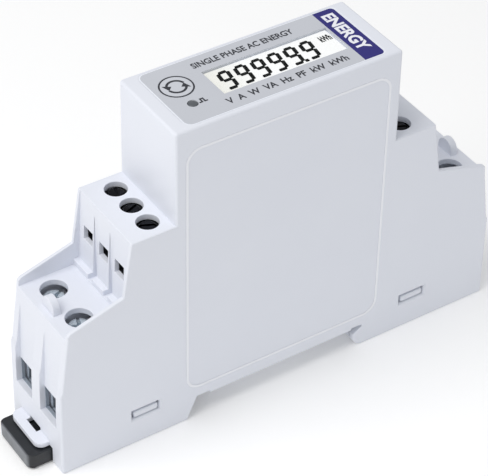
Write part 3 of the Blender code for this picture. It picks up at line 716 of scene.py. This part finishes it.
# screws, with one dictionary for each kind
powerScrew = {
    "nodes": "power_screw_",
    "names": powerNames,
    "finish": "zinc_steel",
    "headHeight": 2.1 * mm,
    "dome": 0.45 * mm,          # radius of the head's upper edge
    "shankRadius": 1.6 * mm,
    "pitch": 0.6 * mm,
    "threadDepth": 0.14 * mm,
    "slot": (2.4 * mm, 0.28 * mm, 0.55 * mm),       # half length, half width, depth
    "cross": (1.35 * mm, 0.34 * mm, 1.15 * mm),
    "turns": (25, 70, -10, 40),         # where each slot points, in degrees
}
signalScrew = {
    "nodes": "signal_screw_",
    "names": signalNames,
    "finish": "black_steel",
    "headHeight": 1.1 * mm,
    "dome": 0.45 * mm,
    "shankRadius": 0.9 * mm,
    "pitch": 0.4 * mm,
    "threadDepth": 0.10 * mm,
    "slot": (1.7 * mm, 0.24 * mm, 0.5 * mm),
    "cross": None,
    "turns": (-25, 20, 65, -25, 20, 65),
}
screwPlan = {
    "headSides": 64,
    "shankSides": 32,
    "ringsPerTurn": 8,          # of the thread
    "underEdge": 0.08 * mm,     # rounding under the head
    "overlap": 0.1 * mm,        # of the shank into the head
}


def threadedShank(spec, centre, low, high):
    # cylinder cut into rings, whose points follow the thread's helix
    radius, pitch, depth = spec["shankRadius"], spec["pitch"], spec["threadDepth"]
    rings = int((high - low) / pitch * screwPlan["ringsPerTurn"])
    shank = addDisc("shank", centre, radius, low, high, screwPlan["shankSides"])
    chooseEdges(shank, upright)
    bpy.ops.mesh.subdivide(number_cuts=rings)
    bpy.ops.object.mode_set(mode="OBJECT")
    for vertex in shank.data.vertices:
        outward = vertex.co.xy - Vector(centre)
        isPlain = vertex.co.z > high - pitch or vertex.co.z < low + pitch
        if isPlain or outward.length < 0.5 * radius:
            continue
        turn = math.atan2(outward.y, outward.x) / math.tau
        phase = ((vertex.co.z - low) / pitch - turn) % 1.0
        vertex.co.xy = Vector(centre) + outward * (1 - depth / radius * abs(2 * phase - 1))
    return shank


def drivenHead(spec, name, centre, radius, low, high):
    # domed head with a slot, and a cross where the screw has one
    head = addDisc(name, centre, radius, low, high, screwPlan["headSides"])
    roundEdges(head, lambda a, b: min(a.z, b.z) > high - 0.01 * mm, spec["dome"], 4)
    roundEdges(head, lambda a, b: max(a.z, b.z) < low + 0.01 * mm, screwPlan["underEdge"], 2)
    tools = []
    for recess, quarters in ((spec["slot"], (0,)), (spec["cross"], (0, 90))):
        for quarter in quarters if recess else ():
            length, width, depth = recess
            middle = Vector((*centre, 0))
            tool = addBox("driver_tool", middle + Vector((-length, -width, high - depth)),
                          middle + Vector((length, width, high + past)))
            turnAbout(tool, centre, quarter)
            tools.append(tool)
    return combined(head, tools)


def makeScrews(spec):
    for name, degrees in zip(spec["names"], spec["turns"]):
        node = spec["nodes"] + name
        low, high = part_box(node)
        centre = ((low.x + high.x) / 2, (low.y + high.y) / 2)
        radius = (high.x - low.x) / 2
        seat = high.z - spec["headHeight"]
        head = drivenHead(spec, node + "_fine", centre, radius, seat, high.z)
        shank = threadedShank(spec, centre, low.z, seat + screwPlan["overlap"])
        combined(head, [shank], "UNION")
        turnAbout(head, centre, -degrees)
        smooth(head, 40)
        settle(head, spec["finish"], node, [node])
    print("screws made:", spec["nodes"], len(spec["names"]))


# label on the front face, with its coloured band
labelPlan = {
    "x": (-19.2 * mm, 19.3 * mm),
    "y": (-7.6 * mm, 8.0 * mm),
    "radii": (1.3 * mm, 0.8 * mm),      # left and right corners
    "film": 0.03 * mm,          # thickness of the film
    "ink": 0.02 * mm,           # thickness of the printing on it
    "bandStart": 15.2 * mm,
    "windowGap": 0.05 * mm,     # from the display's opening to the window
}
backingPlan = {
    # white bed of the label, a little larger, which shows as a line round it
    "margin": 0.28 * mm,
    "depth": 0.25 * mm,
    "radii": (1.5 * mm, 1.0 * mm),
    "windowGap": 0.25 * mm,
}
filmTop = topFace - labelPlan["ink"]
filmLow = filmTop - labelPlan["film"]


def flatShape(name, outline, low, high):
    # plate from an outline of points, extruded upwards
    bpy.ops.object.select_all(action="DESELECT")
    bpy.ops.mesh.primitive_circle_add(vertices=len(outline), fill_type="NGON")
    shape = startPiece(name)
    for vertex, point in zip(shape.data.vertices, outline):
        vertex.co = (*point, low)
    bpy.ops.object.mode_set(mode="EDIT")
    bpy.ops.mesh.select_all(action="SELECT")
    bpy.ops.mesh.extrude_region_move(TRANSFORM_OT_translate={"value": (0, 0, high - low)})
    bpy.ops.mesh.select_all(action="SELECT")
    bpy.ops.mesh.normals_make_consistent(inside=False)
    bpy.ops.object.mode_set(mode="OBJECT")
    return shape


def roundedPlate(name, x, y, z, radii):
    # plate with one radius for its two left corners and one for its two right ones
    plate = addBox(name, (x[0], y[0], z[0]), (x[1], y[1], z[1]))
    middle = sum(x) / 2
    for radius, isThere in zip(radii, (lambda a: a.x < middle, lambda a: a.x > middle)):
        if radius:
            roundEdges(plate, lambda a, b: upright(a, b) and isThere(a), radius, 6)
    return plate


def faceTools(margin):
    # cutters for the display's opening, the button's hole and the lamp's hole
    low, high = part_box("display_window")
    under, over = topFace - 3 * mm, topFace + past
    window = addBox("window_tool", (low.x - margin, low.y - margin, under),
                    (high.x + margin, high.y + margin, over))
    buttonHole = addDisc("button_tool", buttonPlan["centre"],
                         buttonPlan["radius"] + buttonPlan["gap"], under, over)
    lampHole = addDisc("lamp_tool", lampPlan["centre"], lampPlan["radius"] + lampPlan["gap"],
                       under, over, 32)
    return [window, buttonHole, lampHole]


def makeLabel():
    low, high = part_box("label_overlay")
    margin = backingPlan["margin"]
    backing = roundedPlate("label_backing", (low.x - margin, high.x + margin),
                           (low.y - margin, high.y + margin),
                           (low.z - backingPlan["depth"], filmLow), backingPlan["radii"])
    combined(backing, faceTools(backingPlan["windowGap"]))
    settle(backing, "backing", "enclosure")
    (left, right), y, start = labelPlan["x"], labelPlan["y"], labelPlan["bandStart"]
    leftRadius, rightRadius = labelPlan["radii"]
    film = roundedPlate("label_film", (left, start), y, (filmLow, filmTop), (leftRadius, 0))
    combined(film, faceTools(labelPlan["windowGap"]))
    settle(film, "label_film", "enclosure", ["label_overlay"])
    band = roundedPlate("label_band", (start, right), y, (filmLow, filmTop), (0, rightRadius))
    settle(band, "band_ink", "enclosure")
    print("label made")


printing = [
    # name, words, cap height, weight, start point, direction in degrees, length, finish
    ("band_words", "ENERGY", 2.35 * mm, 0.05, (16.15 * mm, 6.8 * mm), -90, 11.7 * mm,
     "white_ink"),
    ("upper_words", "SINGLE PHASE AC ENERGY", 1.45 * mm, 0.030, (-10.2 * mm, 5.1 * mm), 0,
     19.8 * mm, "dark_ink"),
    ("lower_words", "V  A  W  VA  Hz  PF  kW  kWh", 1.5 * mm, 0.030, (-10.4 * mm, -6.1 * mm), 0,
     23.6 * mm, "dark_ink"),
]


def printWords(row, low, high):
    name, words, height, weight, start, degrees, length, finish = row
    bpy.ops.object.select_all(action="DESELECT")
    bpy.ops.object.text_add()
    text = startPiece(name)
    text.data.body = words
    text.data.size = height / 0.73          # capitals are 0.73 of the font's size
    text.data.offset = weight * height
    text.data.extrude = (high - low) / 2
    text.data.resolution_u = 3
    bpy.ops.object.convert(target="MESH")
    lettering = bpy.context.object
    lettering.scale = (length / lettering.dimensions.x, 1, 1)
    lettering.rotation_euler = (0, 0, math.radians(degrees))
    lettering.location = (*start, (low + high) / 2)
    bpy.ops.object.transform_apply(location=True, rotation=True, scale=True)
    settle(lettering, finish, "enclosure")


def makePrinting():
    for row in printing:
        printWords(row, filmTop, topFace)
    print("printing made:", len(printing), "rows")


displayPlan = {
    "digits": "999999",
    "film": 0.22 * mm,          # polarising film on the glass
    "filmEdge": 0.04 * mm,
    "paneEdge": 0.06 * mm,      # edges of the clear window
    "start": (-8.38 * mm, -2.5 * mm),       # lower left corner of the first digit
    "size": (2.5 * mm, 5.2 * mm),
    "lean": 0.14,               # sideways per height
    "pitch": 3.225 * mm,
    "stroke": 0.72 * mm,
    "joint": 0.10 * mm,         # half of the gap between neighbouring segments
    "tip": 0.4,                 # length of a segment's pointed end, of half its stroke
    "ink": 0.02 * mm,
    "point": (5, 0.4 * mm),     # follows this digit, this far before the next one's corner
}
# the unit after the digits, in the same order as a row of the printing
unitRow = ("display_unit", "kWh", 1.6 * mm, 0.05, (12.35 * mm, 0.85 * mm), 0, 2.2 * mm, "lcd_ink")
# which of the seven segments each digit lights: top, upper right, lower right, bottom, lower left,
# upper left and middle
litSegments = {"0": "abcdef", "1": "bc", "2": "abged", "3": "abgcd", "4": "fgbc", "5": "afgcd",
               "6": "afgedc", "7": "abc", "8": "abcdefg", "9": "abcdfg"}


def segmentEnds(letter):
    width, height = displayPlan["size"]
    half = displayPlan["stroke"] / 2
    left, right, bottom, middle, top = half, width - half, half, height / 2, height - half
    return {"a": ((left, top), (right, top)), "b": ((right, middle), (right, top)),
            "c": ((right, bottom), (right, middle)), "d": ((left, bottom), (right, bottom)),
            "e": ((left, bottom), (left, middle)), "f": ((left, middle), (left, top)),
            "g": ((left, middle), (right, middle))}[letter]


def addSegment(letter, shift, low, high):
    # bar between two joints, with its ends brought to points
    a, b = [Vector(end) + shift for end in segmentEnds(letter)]
    along = (b - a).normalized()
    half = displayPlan["stroke"] / 2
    across = Vector((-along.y, along.x)) * half
    a, b = a + along * displayPlan["joint"], b - along * displayPlan["joint"]
    tip = along * (displayPlan["tip"] * half)
    outline = [a, a + tip - across, b - tip - across, b, b - tip + across, a + tip + across]
    lean, base = displayPlan["lean"], displayPlan["start"][1]
    leaning = [(point.x + lean * (point.y - base), point.y) for point in outline]
    return flatShape("segment", leaning, low, high)


def makeDisplay():
    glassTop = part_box("lcd_glass")[1].z
    low = glassTop + displayPlan["film"]
    high = low + displayPlan["ink"]
    corner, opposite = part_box("display_window")
    film = addBox("polarising_film", (corner.x, corner.y, glassTop), (opposite.x, opposite.y, low))
    roundEdges(film, lambda a, b: min(a.z, b.z) > glassTop, displayPlan["filmEdge"], 2)
    settle(film, "display_glass", "enclosure")
    startX, startY = displayPlan["start"]
    segments = []
    for index, digit in enumerate(displayPlan["digits"]):
        shift = Vector((startX + index * displayPlan["pitch"], startY))
        segments += [addSegment(letter, shift, low, high) for letter in litSegments[digit]]
    half = displayPlan["stroke"] / 2
    digitsBefore, back = displayPlan["point"]
    pointX = startX + digitsBefore * displayPlan["pitch"] - back
    point = addBox("point", (pointX - half, startY, low), (pointX + half, startY + 2 * half, high))
    digits = joined("display_digits", segments + [point])
    settle(digits, "lcd_ink", "enclosure")
    printWords(unitRow, low, high)
    window = addBox("window_pane", corner, opposite)
    roundEdges(window, lambda a, b: True, displayPlan["paneEdge"], 2)
    smooth(window)
    settle(window, "clear_plastic", "enclosure", ["display_window"])
    print("display made:", len(segments), "segments")


buttonPlan = {
    "centre": (-15.2 * mm, 2.35 * mm),
    "radius": 2.95 * mm,
    "gap": 0.06 * mm,           # to the film round it
    "edge": 0.12 * mm,
    "ring": (2.70 * mm, 2.95 * mm),
    "arrows": 1.62 * mm,        # radius of the circle that the arrows follow
    "stroke": 0.42 * mm,
    "head": (1.25 * mm, 0.80 * mm),     # arrowhead's length and half width
    "sweep": (14, 150),         # degrees covered by the upper arrow's shaft
    "steps": 16,                # of the shaft's curve
}
lampPlan = {
    "centre": (-15.35 * mm, -2.9 * mm),
    "radius": 0.85 * mm,
    "gap": 0.1 * mm,            # to the film round it
    "dome": 0.2 * mm,           # radius of the top's edge
    "flange": (56.6 * mm, 57.5 * mm),       # low and high face of the collar that holds it
}


def polar(centre, radius, degrees):
    # point on a circle, from +X
    angle = math.radians(degrees)
    return (centre[0] + radius * math.cos(angle), centre[1] + radius * math.sin(angle))


def curvedArrow(name, turn, low, high):
    # flat arrow that follows a part of a circle
    centre, radius, half = buttonPlan["centre"], buttonPlan["arrows"], buttonPlan["stroke"] / 2
    start, stop = [angle + turn for angle in buttonPlan["sweep"]]
    count = buttonPlan["steps"]
    sweep = [start + (stop - start) * step / count for step in range(count + 1)]
    length, wide = buttonPlan["head"]
    tip = stop + math.degrees(length / radius)
    outline = [polar(centre, radius - half, angle) for angle in sweep]
    outline += [polar(centre, radius - wide, stop), polar(centre, radius, tip),
                polar(centre, radius + wide, stop)]
    outline += [polar(centre, radius + half, angle) for angle in reversed(sweep)]
    return flatShape(name, outline, low, high)


def makeButton():
    x, y = centre = buttonPlan["centre"]
    reach = 5 * mm
    cap = refinedCopy("scroll_button", buttonPlan["edge"])
    # the cap's top comes down by the thickness of its printing
    inkTool = addBox("top_tool", (x - reach, y - reach, filmTop),
                     (x + reach, y + reach, topFace + past))
    combined(cap, [inkTool])
    settle(cap, "button_film", "scroll_button", ["scroll_button"])
    inner, outer = buttonPlan["ring"]
    ring = addDisc("button_ring", centre, outer, filmTop, topFace)
    hole = addDisc("ring_tool", centre, inner, filmTop - past, topFace + past)
    settle(combined(ring, [hole]), "dark_ink", "scroll_button")
    arrows = [curvedArrow("arrow", turn, filmTop, topFace) for turn in (0, 180)]
    settle(joined("button_arrows", arrows), "dark_ink", "scroll_button")
    print("button made")


pulsePlan = {
    # one pulse of a square wave, beside the lamp
    "start": (-14.2 * mm, -3.35 * mm),
    "steps": ((0.4, 0), (0, 0.85), (0.5, 0), (0, -0.85), (0.4, 0)),     # in mm
    "stroke": 0.28 * mm,
}


def makeLamp():
    low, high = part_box("pulse_light_pipe")
    centre, radius = lampPlan["centre"], lampPlan["radius"]
    rod = addDisc("light_pipe", centre, radius, low.z, topFace, 48)
    roundEdges(rod, lambda a, b: min(a.z, b.z) > topFace - 0.01 * mm, lampPlan["dome"], 4)
    flange = addDisc("flange", centre, (high.x - low.x) / 2, *lampPlan["flange"], 48)
    combined(rod, [flange], "UNION")
    smooth(rod)
    settle(rod, "lamp_plastic", "enclosure", ["pulse_light_pipe"])
    half = pulsePlan["stroke"] / 2
    x, y = pulsePlan["start"]
    bars = []
    for stepX, stepY in pulsePlan["steps"]:
        nextX, nextY = x + stepX * mm, y + stepY * mm
        bars.append(addBox("bar", (min(x, nextX) - half, min(y, nextY) - half, filmTop),
                           (max(x, nextX) + half, max(y, nextY) + half, topFace)))
        x, y = nextX, nextY
    pulse = combined(bars[0], bars[1:], "UNION")
    pulse.name = "pulse_mark"
    settle(pulse, "dark_ink", "enclosure")
    print("lamp made")


floorPlan = {"size": 6, "drop": 0.02 * mm, "colour": (0.96, 0.96, 0.96, 1), "glow": 0.12}


def makeFloor():
    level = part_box("rear_base")[0].z - floorPlan["drop"]
    bpy.ops.object.select_all(action="DESELECT")
    bpy.ops.mesh.primitive_plane_add(size=floorPlan["size"], location=(0, 0, level))
    floor = startPiece("studio_floor")
    paint = Paint("floor_paint")
    paint.put(Base_Color=floorPlan["colour"], Roughness=0.6 + 0.05 * paint.noise(20),
              Emission_Color=(1, 1, 1, 1), Emission_Strength=floorPlan["glow"])
    floor.data.materials.append(paint.material)
    print("floor laid")


addCamera()
addLights()
mixFinishes()
makeFloor()
makeMouldings()
makePanelEdges()
makeInsides()
makeMouths()
makeClamps()
makeScrews(powerScrew)
makeScrews(signalScrew)
makeLabel()
makePrinting()
makeDisplay()
makeButton()
makeLamp()
